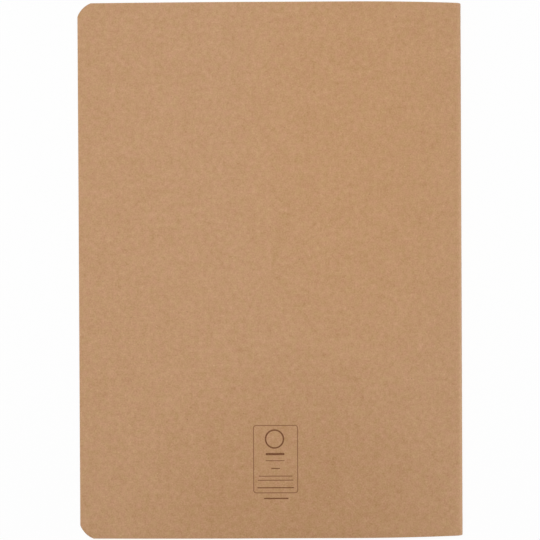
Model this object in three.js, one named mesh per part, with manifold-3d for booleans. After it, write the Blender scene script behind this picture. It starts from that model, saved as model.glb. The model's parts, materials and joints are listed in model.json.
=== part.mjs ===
// Lined notebook: twenty ruled sheets and a card cover, folded once and sewn through the fold.
// It lies on its front cover. +X is the spine, +Y the head of the page, +Z the back cover.
// The origin is under the middle of the book, on the surface that it lies on. Millimetres.

import * as THREE from 'three'
import { mergeVertices } from 'three/addons/utils/BufferGeometryUtils.js'
import Module from 'manifold-3d'

// Driving dimensions of the trimmed book
const pageHeight = 210
const bookWidth = 151
const cornerRadius = 9
const cornerReach = 5.3

// Paper and card
const leafCount = 40
const paper = 0.1
const leafAir = 0.02
const card = 0.35
const cardAir = 0.05

// The back cover's swell over the block, from its crease to the fore-edge
const swellRise = 3.2
const swellRun = 41
const foreEdgeDrop = 1.25
const foreEdgeRun = 62

// Spine and creases
const spineDepth = 2.5
const turnAir = 0.05
const turnPerLeaf = THREE.MathUtils.degToRad(3)

// Sewing thread
const threadDiameter = 0.3
const threadProud = 0.1
const threadAir = 0.03
const channelLip = 0.2
const stitchPitch = 6
const stitchMargin = 3
const dipDepth = 0.45
const dipRun = 0.45

// How finely curves are stepped
const cornerSteps = 4
const bodySlices = 9
const sliceCrowding = 1.6
const spineSteps = 12
const threadSides = 6

// Levels of the closed block
const leafPitch = paper + leafAir
const blockHeight = leafCount * leafPitch - leafAir
const blockBottom = card + cardAir
const blockTop = blockBottom + blockHeight
const bookThickness = blockTop + cardAir + card
const middle = bookThickness / 2

// Across the spine
const foreEdge = -bookWidth / 2
const ridge = bookWidth / 2 - threadProud
const backCrease = ridge - spineDepth
const leafEndGap = paper / 2 + turnAir
const foldGap = paper + turnAir
const cardEndGap = 2 * turnAir

const wasm = await Module()
wasm.setup()

// How far the swell lifts a sheet at a distance from its own crease
function swell(distance) {
  const reach = Math.min(Math.max(distance / swellRun, 0), 1)
  const toFore = Math.max(distance - (backCrease - foreEdge - foreEdgeRun), 0) / foreEdgeRun
  return swellRise * (1 - (1 - reach) ** 2) - foreEdgeDrop * Math.min(toFore, 1) ** 1.5
}

const swellSlope = Math.atan(2 * swellRise / swellRun)
const share = leaf => leaf / (leafCount + 1)
const rootTurn = leaf => leaf * turnPerLeaf + share(leaf) * swellSlope

// Each leaf's crease lies one pitch above the last and is set back towards the spine, so that
// no leaf cuts its neighbour anywhere in the fan. creases[0] belongs to the first leaf.
function creaseLines() {
  const turn = rootTurn(leafCount)
  const coverRise = paper / 2 + cardAir + card + turnAir
  const coverSwing = coverRise + card + turnAir
  const lastBack = (paper / 2 + turnAir - coverSwing * Math.cos(turn)) / Math.sin(turn)
  const lines = []
  let x = backCrease - lastBack
  for (let leaf = leafCount; leaf >= 1; leaf -= 1) {
    lines.unshift({ x, z: blockBottom + paper / 2 + (leaf - 1) * leafPitch })
    x -= leafPitch * Math.tan(rootTurn(leaf - 1) / 2)
  }
  return lines
}

const creases = creaseLines()

// The fore-edge corners are cut by an arc that takes off the same reach of both edges. This is how
// far the arc's centre lies inside both.
const cornerCentre = (cornerReach + Math.sqrt(2 * cornerRadius ** 2 - cornerReach ** 2)) / 2

// Half the sheet's height at a place across it, inside the corners
function halfHeight(x) {
  const across = cornerCentre - Math.min(x - foreEdge, cornerReach)
  return pageHeight / 2 - cornerCentre + Math.sqrt(cornerRadius ** 2 - across ** 2)
}

// Places across a sheet where it is stepped: round the corners, then closer towards the crease
function stations(end) {
  const places = []
  const firstAngle = Math.acos(cornerCentre / cornerRadius)
  for (let step = 0; step < cornerSteps; step += 1) {
    const angle = firstAngle + step * (Math.PI / 2 - 2 * firstAngle) / cornerSteps
    places.push(foreEdge + cornerCentre - cornerRadius * Math.cos(angle))
  }
  const body = end - foreEdge - cornerReach
  for (let slice = 0; slice <= bodySlices; slice += 1) {
    places.push(end - body * (1 - slice / bodySlices) ** sliceCrowding)
  }
  return places
}

// A sheet is a box with one slice between stations, bent to its lower face
function sheet(end, thickness, lowerFace) {
  const places = stations(end)
  const slices = places.length - 1
  const geometry = new THREE.BoxGeometry(slices, 2, 2, slices, 1, 1)
  const points = geometry.attributes.position
  for (let i = 0; i < points.count; i += 1) {
    const x = places[Math.round(points.getX(i) + slices / 2)]
    const lift = points.getZ(i) > 0 ? thickness : 0
    points.setXYZ(i, x, points.getY(i) * halfHeight(x), lowerFace(x) + lift)
  }
  return closed(geometry)
}

// Only positions are kept, so that faces share their corners
function closed(geometry) {
  geometry.deleteAttribute('normal')
  geometry.deleteAttribute('uv')
  return mergeVertices(geometry, 1e-4)
}

function leafSheet(leaf) {
  const crease = creases[leaf - 1]
  const lowerFace = x => crease.z - paper / 2 + share(leaf) * swell(crease.x - x)
  return sheet(crease.x - leafEndGap, paper, lowerFace)
}

// The spine's round: half an ellipse of a given depth and half height, pressed in along the ridge
// by a channel that the thread lies in
const channelDepth = threadDiameter + threadAir - threadProud
const channelHalf = threadDiameter / 2 + channelLip

function roundPoint(inset, angle) {
  const up = (middle - inset) * Math.sin(angle)
  const press = channelDepth * Math.max(1 - (up / channelHalf) ** 2, 0)
  const out = (spineDepth - inset) * Math.cos(angle) - press
  return new THREE.Vector2(backCrease + out, middle + up)
}

// From one angle down to another, with extra steps across the channel
function roundLine(inset, from, to) {
  const lip = Math.asin(channelHalf / (middle - inset))
  const angles = [from, lip, lip / 2, 0, -lip / 2, -lip, to]
  for (let step = 1; step < spineSteps; step += 1) {
    const angle = Math.PI * (0.5 - step / spineSteps)
    if (angle < from && angle > to && Math.abs(angle) > lip) angles.push(angle)
  }
  return angles.sort((a, b) => b - a).map(angle => roundPoint(inset, angle))
}

// A profile drawn across the spine, run the whole height of the page
function alongSpine(profile) {
  const geometry = new THREE.ExtrudeGeometry(new THREE.Shape(profile), {
    depth: pageHeight,
    bevelEnabled: false,
  })
  geometry.rotateX(Math.PI / 2)
  geometry.translate(0, pageHeight / 2, 0)
  return closed(geometry)
}

// The angle on an inset round where it meets a level under the middle
const angleAt = (inset, level) => -Math.asin((middle - level) / (middle - inset))

// Card bent round the folds. Its lower end stops over the front cover, which then has room
// to lie flat when it is opened.
const lipLevel = card + turnAir
const lip = roundPoint(0, angleAt(0, lipLevel))

function coverSpineProfile() {
  const start = Math.acos(turnAir / spineDepth)
  const outer = roundLine(0, start, angleAt(0, lipLevel))
  const inner = roundLine(card, start, angleAt(card, lipLevel))
  return [...outer, ...inner.reverse()]
}

// The nested folds: stepped back crease by crease, and round at the spine
function sheetFoldsProfile() {
  const inset = card + cardAir
  const steps = creases.map(({ x, z }) => new THREE.Vector2(x + foldGap, z - paper / 2))
  const top = new THREE.Vector2(creases.at(-1).x + 2 * foldGap, blockTop)
  return [...steps, top, ...roundLine(inset, Math.PI / 2, -Math.PI / 2)]
}

// Stitches run from hole to hole through the middle of the fold
const innerLeaf = creases[leafCount / 2]
const gutterFloor = innerLeaf.x + foldGap + threadDiameter + 2 * threadAir
const holes = []
for (let y = stitchMargin - pageHeight / 2; y < pageHeight / 2 - stitchMargin / 2; y += stitchPitch) {
  holes.push(y)
}

const slotHalf = threadDiameter / 2 + threadAir

function cutBox(lowX, highX, centreY, lengthY) {
  const box = new THREE.BoxGeometry(highX - lowX, lengthY, 2 * slotHalf)
  box.translate((lowX + highX) / 2, centreY, middle)
  return solid(closed(box))
}

function solid(geometry) {
  return new wasm.Manifold(new wasm.Mesh({
    numProp: 3,
    vertProperties: new Float32Array(geometry.attributes.position.array),
    triVerts: new Uint32Array(geometry.index.array),
  }))
}

function surface(manifold) {
  const { vertProperties, triVerts } = manifold.getMesh()
  const geometry = new THREE.BufferGeometry()
  geometry.setAttribute('position', new THREE.BufferAttribute(vertProperties, 3))
  geometry.setIndex(new THREE.BufferAttribute(triVerts, 1))
  return geometry
}

function sewn(geometry, gutter) {
  const holeLength = 2 * dipRun + threadDiameter
  const start = innerLeaf.x
  const end = bookWidth / 2
  let body = solid(geometry)
  if (gutter) body = body.subtract(cutBox(start, gutterFloor, 0, pageHeight + 2))
  for (const y of holes) body = body.subtract(cutBox(start, end, y, holeLength))
  return surface(body)
}

// A thread in the plane of the fold: a ring of corners at each point, mitred at each bend.
// inward is the way into the fold, +1 or -1 along X.
function thread(x, inward) {
  const end = pageHeight / 2
  const route = [new THREE.Vector2(x, -end)]
  for (const y of holes) {
    route.push(new THREE.Vector2(x, y - dipRun))
    route.push(new THREE.Vector2(x + inward * dipDepth, y))
    route.push(new THREE.Vector2(x, y + dipRun))
  }
  route.push(new THREE.Vector2(x, end))

  const positions = []
  const indices = []
  route.forEach((point, i) => {
    const before = point.clone().sub(route[i - 1] ?? point).normalize()
    const after = (route[i + 1] ?? point).clone().sub(point).normalize()
    const along = before.clone().add(after).normalize()
    const mitre = Math.max(along.dot(before), along.dot(after))
    for (let side = 0; side < threadSides; side += 1) {
      const angle = side * 2 * Math.PI / threadSides
      const across = Math.cos(angle) * threadDiameter / 2 / mitre
      const up = Math.sin(angle) * threadDiameter / 2
      positions.push(point.x + along.y * across, point.y - along.x * across, middle + up)
    }
  })
  const last = (route.length - 1) * threadSides
  for (let ring = 0; ring < last; ring += threadSides) {
    for (let side = 0; side < threadSides; side += 1) {
      const a = ring + side
      const b = ring + (side + 1) % threadSides
      indices.push(a, a + threadSides, b, b, a + threadSides, b + threadSides)
    }
  }
  for (let side = 1; side < threadSides - 1; side += 1) {
    indices.push(0, side, side + 1)
    indices.push(last, last + side + 1, last + side)
  }
  const geometry = new THREE.BufferGeometry()
  geometry.setAttribute('position', new THREE.Float32BufferAttribute(positions, 3))
  geometry.setIndex(indices)
  return geometry
}

const kraft = new THREE.MeshStandardMaterial({ color: '#bb9270', roughness: 0.85, metalness: 0 })
const pagePaper = new THREE.MeshStandardMaterial({ color: '#f2ecdc', roughness: 0.9, metalness: 0 })
const linen = new THREE.MeshStandardMaterial({ color: '#c9b391', roughness: 0.8, metalness: 0 })

const notebook = new THREE.Group()

function piece(name, geometry, material) {
  geometry.computeVertexNormals()
  const mesh = new THREE.Mesh(geometry, material.clone())
  mesh.name = name
  notebook.add(mesh)
}

const frontLine = lip.x - cardEndGap / 2
piece('front_cover', sheet(frontLine - cardEndGap, card, () => 0), kraft)
piece('cover_spine', sewn(alongSpine(coverSpineProfile()), false), kraft)
const backFace = x => bookThickness - card + swell(backCrease - x)
piece('back_cover', sheet(backCrease - cardEndGap, card, backFace), kraft)

piece('sheet_folds', sewn(alongSpine(sheetFoldsProfile()), true), pagePaper)
for (let leaf = 1; leaf <= leafCount; leaf += 1) {
  piece(`leaf_${String(leaf).padStart(2, '0')}`, leafSheet(leaf), pagePaper)
}

piece('spine_thread', thread(bookWidth / 2 - threadDiameter / 2, -1), linen)
piece('gutter_thread', thread(gutterFloor - threadAir - threadDiameter / 2, 1), linen)

export default notebook
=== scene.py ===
"""Lined notebook: twenty folded ruled sheets sewn through the fold into a kraft card cover.

The closed book lies on its front cover, spine towards +X and head towards +Y. Shapes are worked
out in millimetres and turned to metres when a mesh is made.
"""

import json
import math

import bpy
import numpy as np
from mathutils import Matrix, Vector


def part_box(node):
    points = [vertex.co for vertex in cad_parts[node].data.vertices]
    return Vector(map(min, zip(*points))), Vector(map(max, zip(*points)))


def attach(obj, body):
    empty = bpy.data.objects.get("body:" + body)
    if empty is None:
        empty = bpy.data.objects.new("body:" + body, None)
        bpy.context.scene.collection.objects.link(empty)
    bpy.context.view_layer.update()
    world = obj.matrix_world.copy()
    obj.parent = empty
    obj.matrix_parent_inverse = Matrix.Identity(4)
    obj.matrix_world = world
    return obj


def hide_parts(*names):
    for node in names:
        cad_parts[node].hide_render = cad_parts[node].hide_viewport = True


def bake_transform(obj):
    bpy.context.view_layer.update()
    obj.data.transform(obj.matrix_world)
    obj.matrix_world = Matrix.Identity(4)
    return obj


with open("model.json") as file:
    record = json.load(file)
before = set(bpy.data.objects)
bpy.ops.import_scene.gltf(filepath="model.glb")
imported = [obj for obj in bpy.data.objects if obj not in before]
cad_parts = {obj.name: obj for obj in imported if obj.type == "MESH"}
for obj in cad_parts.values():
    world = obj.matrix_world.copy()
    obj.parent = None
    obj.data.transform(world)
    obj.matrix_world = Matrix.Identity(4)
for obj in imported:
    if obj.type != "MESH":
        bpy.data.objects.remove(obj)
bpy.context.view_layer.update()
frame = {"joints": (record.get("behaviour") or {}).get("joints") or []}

MM = 0.001

# Trimmed book
PAGE_HALF = 105.0
FORE_EDGE = -75.5
CORNER_RADIUS = 9.0
CORNER_REACH = 5.3
CORNER_CENTRE = (CORNER_REACH + math.sqrt(2 * CORNER_RADIUS**2 - CORNER_REACH**2)) / 2
LEAVES = 40
PAPER = 0.1
CARD = 0.35
COVER_TOP = 5.58
MIDDLE = COVER_TOP / 2

# The back cover's swell over the block
SWELL_RISE = 3.2
SWELL_RUN = 41.0
FORE_DROP = 1.25
FORE_RUN = 62.0
FORE_POWER = 1.5

# Spine: its round, the channel that the outer thread presses in, and the dimples at its holes
RIDGE = 75.4
SPINE_DEPTH = 2.5
CREASE = RIDGE - SPINE_DEPTH
CHANNEL_DEPTH = 0.23
CHANNEL_HALF = 0.279
DIMPLE_DEPTH = 0.24
DIMPLE_HALF = 0.24
DIMPLE_REACH = 0.30

# Folds of the sheets: how far a leaf bends on each side of its crease, the outermost ridge, the
# step from sheet to sheet, and the shape of the round
PAGE_BEND = 0.16
FOLD_RIDGE = 74.70
FOLD_STEP = 0.115
FOLD_DEPTH = 0.84
FOLD_POWER = 0.88

# Stitches
HOLES = np.arange(-102.0, 102.5, 6.0)
THREAD_RADIUS = 0.15
THREAD_AIR = 0.03
STITCH_DIP = 0.45
STITCH_RUN = 0.62
THREAD_SIDES = 10
PLY_PITCH = 0.95

# Ruling
RULE_PITCH = 7.0
FIRST_RULE = 87.0
LAST_RULE = -95.0
RULE_HALF = 0.11

# Offsets in the maps: the inside of the card, the back of a page, from page to page, and the cut
# edges, which are all that lies beyond the last number
INSIDE = 400.0
PAGE_BACK = 80.0
PAGE_STRIDE = 170.0
CUT = 500.0
CUT_FROM = 300.0

creases = {
    joint["child"]: (joint["pos_m"][0] / MM, joint["pos_m"][2] / MM)
    for joint in frame["joints"]
}


# ---------------------------------------------------------------- shapes


def swell(distance):
    """How far the swell lifts a sheet at a distance from its own crease."""
    reach = np.clip(distance / SWELL_RUN, 0, 1)
    to_fore = np.clip((distance - (CREASE - FORE_EDGE - FORE_RUN)) / FORE_RUN, 0, 1)
    return SWELL_RISE * (1 - (1 - reach) ** 2) - FORE_DROP * to_fore**FORE_POWER


def ease(value):
    """A smooth step from nothing to one."""
    value = np.clip(value, 0, 1)
    return value * value * (3 - 2 * value)


def ripple(x, y):
    """The slight unevenness of a handled block: dips only, and nothing at the crease."""
    wave = (
        0.40 * np.sin(x / 31 + y / 47 + 0.6)
        + 0.35 * np.sin(x / 19 - y / 38 + 2.1)
        + 0.25 * np.sin(y / 23 + x / 71 + 4.0)
    )
    depth, crest, fade = 0.16, 0.8, 40
    return depth * (wave - crest) * ease((CREASE - x) / fade)


def half_height(x, trim=0.0):
    """Half a sheet's height at a place across it, inside the rounded fore-edge corners.

    The corner is an arc that takes off the same reach of both edges.
    """
    across = CORNER_CENTRE - np.clip(x - FORE_EDGE - trim, 0, CORNER_REACH)
    return PAGE_HALF - CORNER_CENTRE + np.sqrt(CORNER_RADIUS**2 - across**2)


def corner_places(steps, trim=0.0):
    """Places round the fore-edge corners, from the very edge inwards."""
    first = math.acos(CORNER_CENTRE / CORNER_RADIUS)
    turn = np.linspace(first, math.pi / 2 - first, steps + 1)
    return FORE_EDGE + trim + CORNER_CENTRE - CORNER_RADIUS * np.cos(turn)


def normals_of(line):
    """Unit normals of a line in the XZ plane, to the left of its run."""
    run = np.gradient(line, axis=0)
    run /= np.linalg.norm(run, axis=1)[:, None]
    return np.stack([-run[:, 1], run[:, 0]], 1)


def run_length(line):
    """The length run along a line up to each of its points."""
    return np.concatenate([[0], np.cumsum(np.linalg.norm(np.diff(line, axis=0), axis=1))])


def bezier(start, lead, follow, end, steps):
    """A cubic curve through both ends, as points."""
    t = np.linspace(0, 1, steps + 1)[:, None]
    points = [np.array(p, float) for p in (start, lead, follow, end)]
    return (
        (1 - t) ** 3 * points[0]
        + 3 * (1 - t) ** 2 * t * points[1]
        + 3 * (1 - t) * t**2 * points[2]
        + t**3 * points[3]
    )


# Outer lines of the spine's round, from the back crease down to the ridge and on to the front
# crease. The pulls say how far each end runs straight on before it bends.
SLOPE = 2 * SWELL_RISE / SWELL_RUN
ROUND_STEPS = 40
BACK_PULL, BACK_RIDGE_PULL = 1.50, 1.62
FRONT_PULL, FRONT_RIDGE_PULL = 1.42, 1.60
back_round = bezier(
    (CREASE, COVER_TOP),
    (CREASE + BACK_PULL, COVER_TOP - BACK_PULL * SLOPE),
    (RIDGE, MIDDLE + BACK_RIDGE_PULL),
    (RIDGE, MIDDLE),
    ROUND_STEPS,
)
front_round = bezier(
    (RIDGE, MIDDLE),
    (RIDGE, MIDDLE - FRONT_RIDGE_PULL),
    (CREASE + FRONT_PULL, 0),
    (CREASE, 0),
    ROUND_STEPS,
)

# The ridge's place in the card's map
SPINE_U = CREASE + run_length(back_round)[-1]


def make_mesh(name, vertices, quads, corners, map_name, finish, sharp=35):
    """A mesh object from millimetre vertices, with one map that holds real sizes."""
    mesh = bpy.data.meshes.new(name)
    mesh.from_pydata((vertices * MM).tolist(), [], quads.tolist())
    layer = mesh.uv_layers.new(name=map_name)
    layer.data.foreach_set("uv", corners.reshape(-1).astype(np.float32))
    mesh.polygons.foreach_set("use_smooth", np.ones(len(mesh.polygons), bool))
    mesh.update()
    mesh.set_sharp_from_angle(angle=math.radians(sharp))
    mesh.materials.append(finish)
    piece = bpy.data.objects.new(name, mesh)
    bpy.context.scene.collection.objects.link(piece)
    return piece


def sheet_arrays(line, across, rows, halves, thick, lift=None, side=INSIDE):
    """A closed sheet bent along a line of its middle, run along Y.

    line is the middle in XZ, across its map coordinate, rows the shares of the half height,
    halves the half height at each place, thick the half thickness at each place and row, and
    lift moves the middle. Returns vertices, quads and the map coordinates of their corners.
    """
    places, count = len(line), len(rows)
    y = rows[None, :] * halves[:, None]
    x = np.repeat(line[:, :1], count, 1)
    z = np.repeat(line[:, 1:], count, 1)
    if lift is not None:
        move_x, move_z = lift(x, y, z)
        x, z = x + move_x, z + move_z
    tilt = normals_of(line)[:, None, :]
    out = np.stack([x, y, z], 2)
    push = np.stack([tilt[..., 0] * thick, np.zeros_like(thick), tilt[..., 1] * thick], 2)
    vertices = np.concatenate([(out + push).reshape(-1, 3), (out - push).reshape(-1, 3)])

    at = np.arange(places * count).reshape(places, count)
    under = at + places * count
    u = np.repeat(across[:, None], count, 1)

    def face(points, pairs):
        """Quads from four arrays of points, with the places of their corners in the map."""
        quad = np.stack([point.reshape(-1) for point in points], 1)
        corner = np.stack([np.stack([p.reshape(-1), q.reshape(-1)], 1) for p, q in pairs], 1)
        return quad, corner

    first, last = slice(None, -1), slice(1, None)
    ring = ((first, first), (last, first), (last, last), (first, last))
    turned_ring = (ring[0], ring[3], ring[2], ring[1])
    made = [
        face([at[s] for s in ring], [(u[s], y[s]) for s in ring]),
        face([under[s] for s in turned_ring], [(u[s] + side, y[s]) for s in turned_ring]),
    ]
    over, below = CUT + thick, CUT - thick
    for edge, turned in ((0, False), (-1, True)):
        a, b = ((edge, last), (edge, first)) if turned else ((edge, first), (edge, last))
        start, end = y[a] + across[edge], y[b] + across[edge]
        pairs = [(start, over[a]), (end, over[b]), (end, below[b]), (start, below[a])]
        made.append(face([at[a], at[b], under[b], under[a]], pairs))
    for edge, turned in ((-1, False), (0, True)):
        a, b = ((last, edge), (first, edge)) if turned else ((first, edge), (last, edge))
        pairs = [(u[a], over[a]), (u[b], over[b]), (u[b], below[b]), (u[a], below[a])]
        made.append(face([at[a], at[b], under[b], under[a]], pairs))
    quads = np.concatenate([m[0] for m in made])
    corners = np.concatenate([m[1] for m in made])
    return vertices, quads, corners


# ---------------------------------------------------------------- shader maths


class Wire:
    """A shader socket that Python arithmetic adds nodes to."""

    def __init__(self, finish, socket):
        self.finish, self.socket = finish, socket

    def maths(self, operation, *others, clamp=False):
        """A sum, product or the like of this value and others."""
        settings = {"operation": operation, "use_clamp": clamp}
        values = dict(enumerate([self, *others]))
        return self.finish.node("ShaderNodeMath", settings, values)

    def __add__(self, other):
        return self.maths("ADD", other)

    def __sub__(self, other):
        return self.maths("SUBTRACT", other)

    def __mul__(self, other):
        return self.maths("MULTIPLY", other)

    def __truediv__(self, other):
        return self.maths("DIVIDE", other)

    def __pow__(self, other):
        return self.maths("POWER", other)

    def __radd__(self, other):
        return self + other

    def __rsub__(self, other):
        return self.finish.node("ShaderNodeMath", {"operation": "SUBTRACT"}, {0: other, 1: self})

    def __abs__(self):
        return self.maths("ABSOLUTE")

    def at_least(self, other):
        return self.maths("MAXIMUM", other)

    def at_most(self, other):
        return self.maths("MINIMUM", other)

    def held(self):
        """Kept between nothing and one."""
        return self.maths("ADD", 0.0, clamp=True)

    def beyond(self, edge, blur):
        """Nothing below an edge and one above it, over a blur."""
        return ((self - (edge - blur / 2)) / blur).held()


class Finish:
    """A material's node tree."""

    def __init__(self, tree):
        self.tree = tree
        tree.nodes.clear()

    def node(self, kind, settings=None, values=None, out=0):
        """A new node with its settings, its inputs, and the output that is used."""
        made = self.tree.nodes.new(kind)
        for name, setting in (settings or {}).items():
            setattr(made, name, setting)
        for name, value in (values or {}).items():
            if isinstance(value, Wire):
                self.tree.links.new(value.socket, made.inputs[name])
            else:
                made.inputs[name].default_value = value
        return Wire(self, made.outputs[out]) if len(made.outputs) else made

    def map(self, name):
        """A map's place as a vector, and its two numbers."""
        place = self.node("ShaderNodeUVMap", {"uv_map": name})
        across = self.node("ShaderNodeSeparateXYZ", None, {0: place}, "X")
        along = Wire(self, across.socket.node.outputs["Y"])
        return place, across, along

    def noise(self, place, cell, detail=0.0, rough=0.5, stretch=None, bend=0.0):
        """Noise about 0 with cells of a real size in millimetres.

        stretch turns it by an angle and squeezes it across.
        """
        if stretch is not None:
            turn, squeeze = stretch
            values = {0: place, "Rotation": (0, 0, turn), "Scale": (squeeze, 1, 1)}
            place = self.node("ShaderNodeMapping", None, values)
        values = {"Vector": place, "Scale": 1 / cell, "Detail": detail}
        values.update({"Roughness": rough, "Distortion": bend})
        made = self.node("ShaderNodeTexNoise", {"noise_dimensions": "2D"}, values)
        return made - 0.5

    def flecks(self, place, cell, share, size):
        """Small spots, one in a share of the cells of a real size."""
        blur = 0.12
        settings = {"voronoi_dimensions": "2D", "feature": "F1"}
        values = {"Vector": place, "Scale": 1 / cell, "Randomness": 1.0}
        near = self.node("ShaderNodeTexVoronoi", settings, values, "Distance")
        cell_mark = Wire(self, near.socket.node.outputs["Color"])
        draw = self.node("ShaderNodeSeparateXYZ", None, {0: cell_mark})
        reach = (draw - (1 - share)).at_least(0) * (size / cell / share)
        return ((reach - near) * (cell / blur)).held()

    def mix(self, share, first, second, blend="MIX"):
        """Two colours mixed by a share of the second."""
        settings = {"data_type": "RGBA", "blend_type": blend}
        return self.node("ShaderNodeMix", settings, {0: share, 6: first, 7: second}, 2)

    def shade(self, colour, value):
        """A colour made lighter or darker by a number about 1."""
        values = {0: colour, "Scale": value}
        return self.node("ShaderNodeVectorMath", {"operation": "SCALE"}, values)


def material(name):
    """A new material and its node tree."""
    made = bpy.data.materials.new(name)
    made.use_nodes = True
    return made, Finish(made.node_tree)


def surface(finish, values, bump=None, depth=0.0):
    """The shader of a dry surface, with a bump height in millimetres."""
    if bump is not None:
        values = dict(values)
        relief = {"Strength": 1.0, "Distance": depth * MM, "Height": bump}
        values["Normal"] = finish.node("ShaderNodeBump", None, relief)
    shader = finish.node("ShaderNodeBsdfPrincipled", None, values)
    finish.node("ShaderNodeOutputMaterial", None, {"Surface": shader})


KRAFT_DEEP = (0.372, 0.193, 0.079, 1)
KRAFT_PALE = (0.655, 0.403, 0.237, 1)
TO_ROSY = (1.027, 0.980, 1.055, 1)
TO_OCHRE = (0.974, 1.013, 0.940, 1)
# A shade yellower, for the part of the card towards the head and the spine
YELLOW_TINT = (1.0, 0.980, 0.928, 1)
KRAFT_CUT = (0.560, 0.350, 0.200, 1)
SPECK_DARK = (0.200, 0.105, 0.050, 1)
SPECK_PALE = (0.750, 0.520, 0.320, 1)
LABEL_INK = (0.150, 0.055, 0.020, 1)
PAGE = (0.900, 0.850, 0.762, 1)
# The pages' cut edges, painted a little darker for the shade between the leaves
PAGE_CUT_SHADED = (0.890, 0.825, 0.715, 1)
RULE_INK = (0.400, 0.460, 0.520, 1)
LINEN = (0.760, 0.650, 0.470, 1)
# Painted shade for the groove between the thread's plies
LINEN_GROOVE_SHADE = (0.480, 0.370, 0.230, 1)
FLOOR = (0.930, 0.930, 0.930, 1)
WHITE = (1, 1, 1, 1)

# The label's middle, its frame and its ring, placed from that middle
LABEL_X, LABEL_Y = 1.35, -73.9
FRAME_HALF_X, FRAME_HALF_Y, FRAME_CORNER, FRAME_LINE, FRAME_SHARE = 8.62, 13.2, 1.0, 0.32, 0.8
RING_X, RING_Y, RING_RADIUS, RING_LINE = -0.4, 7.9, 3.5, 0.60
PRINT_BLUR = 0.07

# Its blank rules: across and along from the label's middle, half length and thickness
LABEL_RULES = (
    (-0.2, 2.00, 3.7, 0.90),
    (-0.2, -0.60, 3.7, 0.24),
    (0.0, -3.65, 1.7, 0.40),
    (0.0, -6.65, 6.6, 0.30),
    (0.0, -8.25, 7.0, 0.30),
    (0.0, -11.20, 7.2, 0.42),
    (0.2, -15.40, 4.8, 0.52),
)


def label_mask(across, along):
    """The printed label: a thin round-cornered frame, a ring and blank rules."""

    def box_distance(x, y, half_x, half_y, radius):
        over_x = abs(across - x) - (half_x - radius)
        over_y = abs(along - y) - (half_y - radius)
        outside = (over_x.at_least(0) ** 2 + over_y.at_least(0) ** 2) ** 0.5
        inside = over_x.at_least(over_y).at_most(0)
        return outside + inside - radius

    def stroke(distance, width):
        return 1 - abs(distance).beyond(width / 2, PRINT_BLUR)

    frame_edge = box_distance(LABEL_X, LABEL_Y, FRAME_HALF_X, FRAME_HALF_Y, FRAME_CORNER)
    frame_line = stroke(frame_edge, FRAME_LINE) * FRAME_SHARE
    ring_x, ring_y = LABEL_X + RING_X, LABEL_Y + RING_Y
    ring = ((across - ring_x) ** 2 + (along - ring_y) ** 2) ** 0.5 - RING_RADIUS
    mark = stroke(ring, RING_LINE)
    for x, y, half, thick in LABEL_RULES:
        bar = box_distance(LABEL_X + x, LABEL_Y + y, half, thick / 2, thick / 2)
        mark = mark.at_least(1 - bar.beyond(0, PRINT_BLUR))
    return frame_line.at_least(mark)


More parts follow.
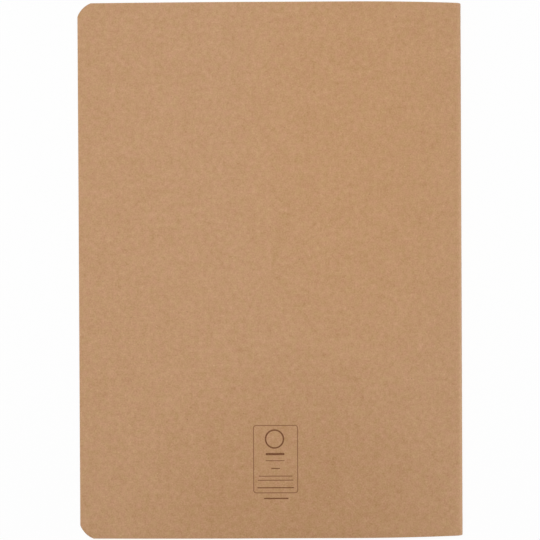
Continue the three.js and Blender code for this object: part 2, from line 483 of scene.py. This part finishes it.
def kraft_finish():
    """Uncoated recycled kraft card: soft mottling, fibres, specks, rubbed edges, and a ridge
    lighter by rubbing and by a painted sheen.
    """
    made, finish = material("kraft_card")
    place, across, along = finish.map("card")

    grain = finish.noise(place, cell=0.62, detail=1.5, rough=0.6)
    mottle = finish.noise(place, cell=1.9, detail=1.0)
    cloud = finish.noise(place, cell=9.0, detail=2.0, rough=0.45)
    hue = finish.noise(place, cell=3.2, detail=2.0, rough=0.65)

    # Fibres lie where a bent noise crosses nothing, and only where a second noise lets them
    fibre_gate = finish.noise(place, cell=2.3)
    pale_line = abs(finish.noise(place, cell=1.7, detail=1.0, stretch=(0.35, 0.55), bend=1.2))
    pale_fibre = (1 - pale_line.beyond(0.022, 0.02)) * fibre_gate.beyond(0.06, 0.08)
    dark_line = abs(finish.noise(place, cell=2.2, detail=1.0, stretch=(-0.9, 0.6), bend=1.0))
    dark_gate = 1 - fibre_gate.beyond(-0.09, 0.06)
    dark_fibre = (1 - dark_line.beyond(0.016, 0.018)) * dark_gate
    dark_speck = finish.flecks(place, cell=5.5, share=0.16, size=0.30)
    pale_speck = finish.flecks(place, cell=7.5, share=0.12, size=0.34)

    # Rubbed lighter along the cut edges; along the ridge, lighter by rubbing and by a painted
    # sheen, more so over the lower ridge
    face = 1 - along.beyond(CUT_FROM, 1)
    to_side = PAGE_HALF - abs(along)
    to_end = (SPINE_U - FORE_EDGE) - abs(across - SPINE_U)
    edge_noise = finish.noise(place, cell=1.2, detail=2.0, rough=0.6) * 1.2
    rub = (1 - (to_side.at_most(to_end) + edge_noise).beyond(0.35, 0.7)) * face
    from_ridge = abs(across - SPINE_U) + edge_noise
    lower = 1 - along.beyond(50, 40)
    narrow_wear_and_sheen = (1 - from_ridge.beyond(2.5, 1.6)) * (2.2 + lower * 2.6)
    ridge_wear_and_sheen = (1 - from_ridge.beyond(3.6, 2.0)) + narrow_wear_and_sheen

    def patch(x, y, half_x, half_y):
        """One at a place on the card, fading to nothing at an ellipse round it."""
        return (1 - ((across - x) / half_x) ** 2 - ((along - y) / half_y) ** 2).at_least(0)

    # A shade deeper over the lower middle towards the foot, and a shade yellower towards the head
    # and the spine
    deeper_towards_foot = patch(8, -108, 66, 80)
    yellower_towards_head = patch(36, 52, 54, 102)

    tone = (
        0.5
        - deeper_towards_foot * 0.16
        + grain * 0.57
        + mottle * 0.30
        + cloud * 0.14
        + pale_fibre * 0.12
        - dark_fibre * 0.14
        # Rubbing and painted sheen along the ridge
        + ridge_wear_and_sheen * face * 0.09
        + rub * 0.12
    )
    base = finish.mix(tone, KRAFT_DEEP, KRAFT_PALE)
    warmth = finish.mix(hue.beyond(0, 0.6), TO_OCHRE, TO_ROSY)
    base = finish.mix(1.0, base, warmth, "MULTIPLY")
    base = finish.mix(yellower_towards_head, base, YELLOW_TINT, "MULTIPLY")
    colour = finish.mix(1 - face, base, KRAFT_CUT)
    colour = finish.mix(dark_speck * 0.45, colour, SPECK_DARK)
    colour = finish.mix(pale_speck * 0.35, colour, SPECK_PALE)
    ink = label_mask(across, along) * (0.93 + grain * 0.5).held()
    colour = finish.mix(ink, colour, LABEL_INK)

    height = grain + mottle * 0.6 + pale_fibre * 0.16 - dark_fibre * 0.10
    surface(
        finish,
        {
            "Base Color": colour,
            "Roughness": (0.86 + grain * 0.2 - ink * 0.08).held(),
            "Specular IOR Level": 0.25,
        },
        bump=height,
        depth=0.020,
    )
    return made


def page_finish():
    """Ivory writing paper with ruled lines, and its cut edges painted a little darker for the shade
    between the leaves.
    """
    made, finish = material("page_paper")
    place, _, along = finish.map("page")
    cloud = finish.noise(place, cell=3.0, detail=2.0, rough=0.6)
    edge = along.beyond(CUT_FROM, 1)
    step = (FIRST_RULE - along) / RULE_PITCH + 0.5
    off = abs(step.maths("FRACT") - 0.5) * RULE_PITCH
    rule = 1 - off.beyond(RULE_HALF, 0.08)
    ruled = (1 - along.beyond(FIRST_RULE + 1, 0.1)) * along.beyond(LAST_RULE - 1, 0.1)
    tone = 1 + cloud * (0.05 + edge * 0.12)
    # Painted shade between the leaves on the cut edges
    base = finish.mix(edge, PAGE, PAGE_CUT_SHADED)
    colour = finish.shade(base, tone)
    colour = finish.mix(rule * ruled * 0.8, colour, RULE_INK)
    surface(
        finish,
        {"Base Color": colour, "Roughness": 0.92, "Specular IOR Level": 0.2},
        bump=cloud,
        depth=0.006,
    )
    return made


def thread_finish():
    """Natural linen sewing thread, with painted shade in the groove between its two plies."""
    made, finish = material("sewing_thread")
    place, _, around = finish.map("ply")
    fluff = finish.noise(place, cell=0.25, detail=2.0, rough=0.6)
    tone = 1 + fluff * 0.35
    # Painted shade where the two plies meet
    colour = finish.mix(around.beyond(0.5, 0.8), LINEN_GROOVE_SHADE, LINEN)
    surface(
        finish,
        {
            "Base Color": finish.shade(colour, tone),
            "Roughness": 0.8,
            "Specular IOR Level": 0.3,
        },
        bump=fluff,
        depth=0.02,
    )
    return made


# ---------------------------------------------------------------- the pieces

# Rows along the card: its cut ends, and close together at each needle hole
END_ROW = 0.09
HOLE_ROWS = (-0.6, -0.34, -0.14, 0.14, 0.34, 0.6, 3.0)
cover_rows = [-PAGE_HALF, -PAGE_HALF + END_ROW, PAGE_HALF - END_ROW, PAGE_HALF]
for hole in HOLES:
    cover_rows += [hole + row for row in HOLE_ROWS]
cover_rows = np.array(sorted(row for row in cover_rows if abs(row) <= PAGE_HALF)) / PAGE_HALF

# Places across the card, closer together towards its crease
NEAR_CREASE, AT_CREASE = 8.0, 0.9
flat = np.concatenate(
    [
        corner_places(18),
        np.linspace(FORE_EDGE + CORNER_REACH, CREASE - NEAR_CREASE, 30)[1:],
        np.linspace(CREASE - NEAR_CREASE, CREASE - AT_CREASE, 8)[1:],
        np.linspace(CREASE - AT_CREASE, CREASE, 10)[1:-1],
    ]
)

# Shares of the card's thickness at its cut edges and next to them, and what its crease loses
EDGE_SHARE, NEXT_SHARE = 0.74, 0.95
CRUSH_SHARE, CRUSH_REACH = 0.45, 0.45


def spine_press(x, y, z):
    """The channel pressed in by the thread, with a dimple at each needle hole."""
    up = z - MIDDLE
    near = np.min(np.abs(y[..., None] - HOLES), axis=-1)
    channel = CHANNEL_DEPTH * np.exp(-((up / CHANNEL_HALF) ** 2))
    dimple = np.exp(-((near / DIMPLE_REACH) ** 2)) * np.exp(-((up / DIMPLE_HALF) ** 2))
    return -(channel + DIMPLE_DEPTH * dimple) * (x > CREASE)


def back_lift(x, y, z):
    """How the back half of the card leaves its even shape, in X and Z."""
    return spine_press(x, y, z), ripple(x, y)


def front_lift(x, y, z):
    """How the front half of the card leaves its even shape, in X and Z."""
    return spine_press(x, y, z), np.zeros_like(x)


def card_thickness(places, fore_first):
    """Half thickness, with the cut edges slightly softened."""
    thick = np.full((len(places), len(cover_rows)), CARD / 2)
    thick[:, [0, -1]] *= EDGE_SHARE
    edge, within = (0, 1) if fore_first else (-1, -2)
    thick[edge, :] *= EDGE_SHARE
    thick[within, :] *= NEXT_SHARE
    return thick


kraft = kraft_finish()
page = page_finish()
linen = thread_finish()


def back_sheet():
    """The back cover and the upper half of the spine, one bend of card."""
    top = np.stack([flat, COVER_TOP + swell(CREASE - flat)], 1)
    outer = np.concatenate([top, back_round])
    across = np.concatenate([flat, CREASE + run_length(back_round)])
    # The card is crushed thinner along its crease, from within
    crush = 1 - CRUSH_SHARE * np.exp(-(((across - CREASE) / CRUSH_REACH) ** 2))
    line = outer - normals_of(outer) * (crush * CARD / 2)[:, None]
    halves = half_height(outer[:, 0])
    thick = card_thickness(line, fore_first=True) * crush[:, None]
    piece = make_mesh(
        "cover_back_sheet",
        *sheet_arrays(line, across, cover_rows, halves, thick, back_lift),
        "card",
        kraft,
    )
    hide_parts("back_cover", "cover_spine")
    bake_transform(piece)


def front_sheet():
    """The front cover and the lower half of the spine."""
    base = np.stack([flat[::-1], np.zeros(len(flat))], 1)
    outer = np.concatenate([front_round, base])
    across = 2 * SPINE_U - np.concatenate(
        [CREASE + run_length(front_round[::-1])[::-1], flat[::-1]]
    )
    line = outer - normals_of(outer) * CARD / 2
    halves = half_height(outer[:, 0])
    thick = card_thickness(line, fore_first=False)
    piece = make_mesh(
        "cover_front_sheet",
        *sheet_arrays(line, across, cover_rows, halves, thick, front_lift),
        "card",
        kraft,
    )
    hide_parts("front_cover", "cover_spine")
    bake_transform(piece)


# How far each leaf's fore-edge, and each sheet's head and foot, stand back from the even block
TRIM_WAVE, TRIM_SCATTER, HEAD_SCATTER = 0.035, 0.07, 0.05
leaf_rows = np.linspace(-1, 1, 13)
draw = np.random.default_rng(21)
trims = TRIM_WAVE * np.sin(np.arange(LEAVES) * 0.7 + 0.4) + draw.uniform(0, TRIM_SCATTER, LEAVES)
heads = draw.uniform(-HEAD_SCATTER, 0.0, LEAVES // 2)
GUTTER_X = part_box("gutter_thread")[0].x / MM + THREAD_RADIUS

# Where the sheets part round the inner thread: the pitch that they are pressed to, and the reach
PRESSED_PITCH = 0.102
PART_REACH, PART_START = 0.34, 0.25


def leaf_share(leaf):
    """A leaf's share of the swell: even on the whole, with looser and tighter gaps."""
    ends = ease(leaf / 4) * ease((LEAVES - leaf) / 4)
    looseness = 0.75 * math.sin(0.62 * leaf + 0.5)
    return (leaf + looseness * ends) / (LEAVES + 1)


def half_fold(leaf):
    """The middle of a folded sheet from one leaf's crease round to its ridge."""
    sheet = min(leaf, LEAVES + 1 - leaf)
    crease_x, crease_z = creases[f"leaf_{leaf:02d}"]
    half = abs(crease_z - MIDDLE)
    ridge = FOLD_RIDGE - FOLD_STEP * (sheet - 1)
    depth = half * FOLD_DEPTH
    turn = np.linspace(math.pi / 2, 0, 14)
    out, up = np.cos(turn) ** FOLD_POWER, np.sin(turn) ** FOLD_POWER
    bend = np.stack([ridge - depth + depth * out, half * up], 1)
    start = crease_x + PAGE_BEND
    straight = np.linspace(start, ridge - depth, 14)[:-1]

    # The sheets part a little to pass round the thread inside the fold
    spread = THREAD_RADIUS + THREAD_AIR + PAPER / 2 + PRESSED_PITCH * (LEAVES / 2 - sheet)
    bulge = np.exp(-(((straight - GUTTER_X) / PART_REACH) ** 2))
    parted = half + max(spread - half, 0) * bulge * ease((straight - start) / PART_START)
    line = np.concatenate([np.stack([straight, parted], 1), bend])
    if leaf <= LEAVES // 2:
        line[:, 1] *= -1
    line[:, 1] += MIDDLE
    return line


def leaf_sheet(leaf):
    """One leaf and its half of the fold, from the cut fore-edge to the ridge."""
    body = f"leaf_{leaf:02d}"
    crease_x, crease_z = creases[body]
    trim = trims[leaf - 1]
    share = leaf_share(leaf)
    corner = FORE_EDGE + trim + CORNER_REACH
    root = crease_x - PAGE_BEND
    crowding, settled = 1.6, 30
    x = np.concatenate(
        [
            corner_places(14, trim),
            root - (root - corner) * (1 - np.linspace(0, 1, 22)[1:]) ** crowding,
            np.linspace(root, crease_x + PAGE_BEND, 9)[1:-1],
        ]
    )
    line = np.stack([x, crease_z + share * swell(np.maximum(crease_x - x, 0))], 1)
    fold = half_fold(leaf)
    line = np.concatenate([line, fold])
    across = np.concatenate([x, fold[0, 0] + run_length(fold)])
    thick = np.full((len(line), len(leaf_rows)), PAPER / 2)
    halves = half_height(line[:, 0], trim) + heads[min(leaf, LEAVES + 1 - leaf) - 1]

    def lift(x, y, z):
        fade = ease((crease_x - x) / settled)
        return np.zeros_like(x), share * ripple(x, y) * fade

    piece = make_mesh(
        f"page_{leaf:02d}",
        *sheet_arrays(
            line, across + PAGE_STRIDE * leaf, leaf_rows, halves, thick, lift, PAGE_BACK
        ),
        "page",
        page,
    )
    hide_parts(body, "sheet_folds")
    (crease_x - 0.12) * MM
    crease_z * MM
    (crease_x + 0.12) * MM
    crease_z * MM
    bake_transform(piece)


def twisted_thread(name, node, centre_x, inward, spacing):
    """A two-ply thread along the fold that dips into each needle hole."""
    y = np.arange(-PAGE_HALF, PAGE_HALF + spacing / 2, spacing)
    y[-1] = PAGE_HALF
    near = np.min(np.abs(y[:, None] - HOLES), axis=1)
    dip = STITCH_DIP * (1 - ease(near / STITCH_RUN))
    x = centre_x + inward * dip
    sway = 0.025 * np.sin(y / 2.3 + 1) + 0.02 * np.sin(y / 0.9)
    z = MIDDLE + sway
    path = np.stack([x, y, z], 1)
    run = np.gradient(path, axis=0)
    run /= np.linalg.norm(run, axis=1)[:, None]
    side = np.stack([run[:, 1], -run[:, 0], np.zeros(len(run))], 1)
    side /= np.linalg.norm(side, axis=1)[:, None]
    up = np.cross(run, side)
    angle = np.arange(THREAD_SIDES) * 2 * math.pi / THREAD_SIDES
    twist = y[:, None] * 2 * math.pi / PLY_PITCH
    swing = np.cos(angle[None, :] - twist) ** 2
    waist = 0.68
    radius = THREAD_RADIUS * (waist + (1 - waist) * swing)
    ring = (
        path[:, None, :]
        + (np.cos(angle)[None, :] * radius)[..., None] * side[:, None, :]
        + (np.sin(angle)[None, :] * radius)[..., None] * up[:, None, :]
    )
    count = len(y)
    at = np.arange(count * THREAD_SIDES).reshape(count, THREAD_SIDES)
    right = np.roll(at, -1, axis=1)
    quads = np.stack([at[:-1], right[:-1], right[1:], at[1:]], 2).reshape(-1, 4)
    along = np.repeat(y[:, None], THREAD_SIDES, 1)
    next_swing = np.roll(swing, -1, axis=1)
    corners = np.stack(
        [
            np.stack([along[:-1], swing[:-1]], 2),
            np.stack([along[:-1], next_swing[:-1]], 2),
            np.stack([along[1:], next_swing[1:]], 2),
            np.stack([along[1:], swing[1:]], 2),
        ],
        2,
    ).reshape(-1, 4, 2)
    vertices = ring.reshape(-1, 3)
    caps = []
    for ring_at, turned in ((0, True), (count - 1, False)):
        loop = at[ring_at][::-1] if turned else at[ring_at]
        for step in range(1, THREAD_SIDES - 2, 2):
            caps.append([loop[0], loop[step], loop[step + 1], loop[step + 2]])
    caps = np.array(caps)
    quads = np.concatenate([quads, caps])
    corners = np.concatenate([corners, np.full((len(caps), 4, 2), 0.5)])
    piece = make_mesh(name, vertices, quads, corners, "ply", linen, sharp=60)
    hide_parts(node)
    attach(piece, "binding")


back_sheet()
front_sheet()
for number in range(1, LEAVES + 1):
    leaf_sheet(number)
SPINE_THREAD_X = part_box("spine_thread")[1].x / MM - THREAD_RADIUS
twisted_thread("spine_stitching", "spine_thread", SPINE_THREAD_X, inward=-1, spacing=0.12)
twisted_thread("gutter_stitching", "gutter_thread", GUTTER_X, inward=1, spacing=0.4)


# ---------------------------------------------------------------- floor, light and camera


def seen_directly(finish):
    """One for the rays that show the background: from the camera, a gloss or a glass."""
    path = finish.node("ShaderNodeLightPath", None, None, "Is Camera Ray")
    outputs = path.socket.node.outputs
    glossy = Wire(finish, outputs["Is Glossy Ray"])
    through = Wire(finish, outputs["Is Transmission Ray"])
    return path.at_least(glossy).at_least(through)


def studio_floor():
    """A white floor that shows as the background, and keeps a faint shadow near the book."""
    made, finish = material("floor_paper")
    lit = finish.node("ShaderNodeBsdfDiffuse", None, {"Color": FLOOR})
    white = finish.node("ShaderNodeEmission", None, {"Color": WHITE, "Strength": 1.0})
    place = finish.node("ShaderNodeNewGeometry")
    far = finish.node("ShaderNodeVectorMath", {"operation": "LENGTH"}, {0: place}, "Value")
    near_share = 0.92
    share = seen_directly(finish) * (near_share + far.beyond(0.55, 0.5) * (1 - near_share))
    shader = finish.node("ShaderNodeMixShader", None, {0: share, 1: lit, 2: white})
    finish.node("ShaderNodeOutputMaterial", None, {"Surface": shader})
    size, level = 3.0, -0.00003
    mesh = bpy.data.meshes.new("studio_floor")
    corners = ((-size, -size), (size, -size), (size, size), (-size, size))
    mesh.from_pydata([(x, y, level) for x, y in corners], [], [(0, 1, 2, 3)])
    mesh.materials.append(made)
    floor = bpy.data.objects.new("studio_floor", mesh)
    bpy.context.scene.collection.objects.link(floor)


def studio_world():
    """Even soft light, on a white background."""
    world = bpy.data.worlds.new("studio")
    bpy.context.scene.world = world
    world.use_nodes = True
    finish = Finish(world.node_tree)
    soft = finish.node("ShaderNodeBackground", None, {"Color": WHITE, "Strength": 0.42})
    white = finish.node("ShaderNodeBackground", None, {"Color": WHITE, "Strength": 1.0})
    shader = finish.node("ShaderNodeMixShader", None, {0: seen_directly(finish), 1: soft, 2: white})
    finish.node("ShaderNodeOutputWorld", None, {"Surface": shader})


def soft_lamp(name, place, target, size, power):
    """A square area lamp that faces its target."""
    lamp = bpy.data.lights.new(name, "AREA")
    lamp.shape, lamp.size, lamp.energy = "SQUARE", size, power
    lamp_object = bpy.data.objects.new(name, lamp)
    lamp_object.location = place
    aim = Vector(target) - Vector(place)
    lamp_object.rotation_euler = aim.to_track_quat("-Z", "Y").to_euler()
    bpy.context.scene.collection.objects.link(lamp_object)


def photograph_camera():
    """The view straight down on the back cover, slightly turned, from 430 mm."""
    picture, film = 540, 36.0
    focal, shift_x, shift_y, distance = 1077.10, 0.4935, -0.1350, 430.0
    turn, lean, nod = 0.00482, -0.000864, 0.0047
    tilt = (
        Matrix.Rotation(turn, 3, "Z") @ Matrix.Rotation(lean, 3, "Y") @ Matrix.Rotation(nod, 3, "X")
    )
    facing = tilt.transposed()
    place = facing @ Vector((-shift_x, -shift_y, distance)) * MM
    data = bpy.data.cameras.new("photograph_camera")
    data.sensor_width, data.lens = film, focal / picture * film
    data.clip_start, data.clip_end = 0.01, 20.0
    camera = bpy.data.objects.new("photograph_camera", data)
    camera.matrix_world = Matrix.Translation(place) @ facing.to_4x4()
    bpy.context.scene.collection.objects.link(camera)
    bpy.context.scene.camera = camera


studio_floor()
studio_world()
soft_lamp("key_lamp", place=(-0.058, 0.085, 0.53), target=(0, 0, 0), size=0.3, power=1.66)
soft_lamp("spine_lamp", place=(0.95, 0, 0.22), target=(0.05, 0, 0), size=0.4, power=1.4)
photograph_camera()
bpy.context.scene.view_settings.view_transform = "Standard"
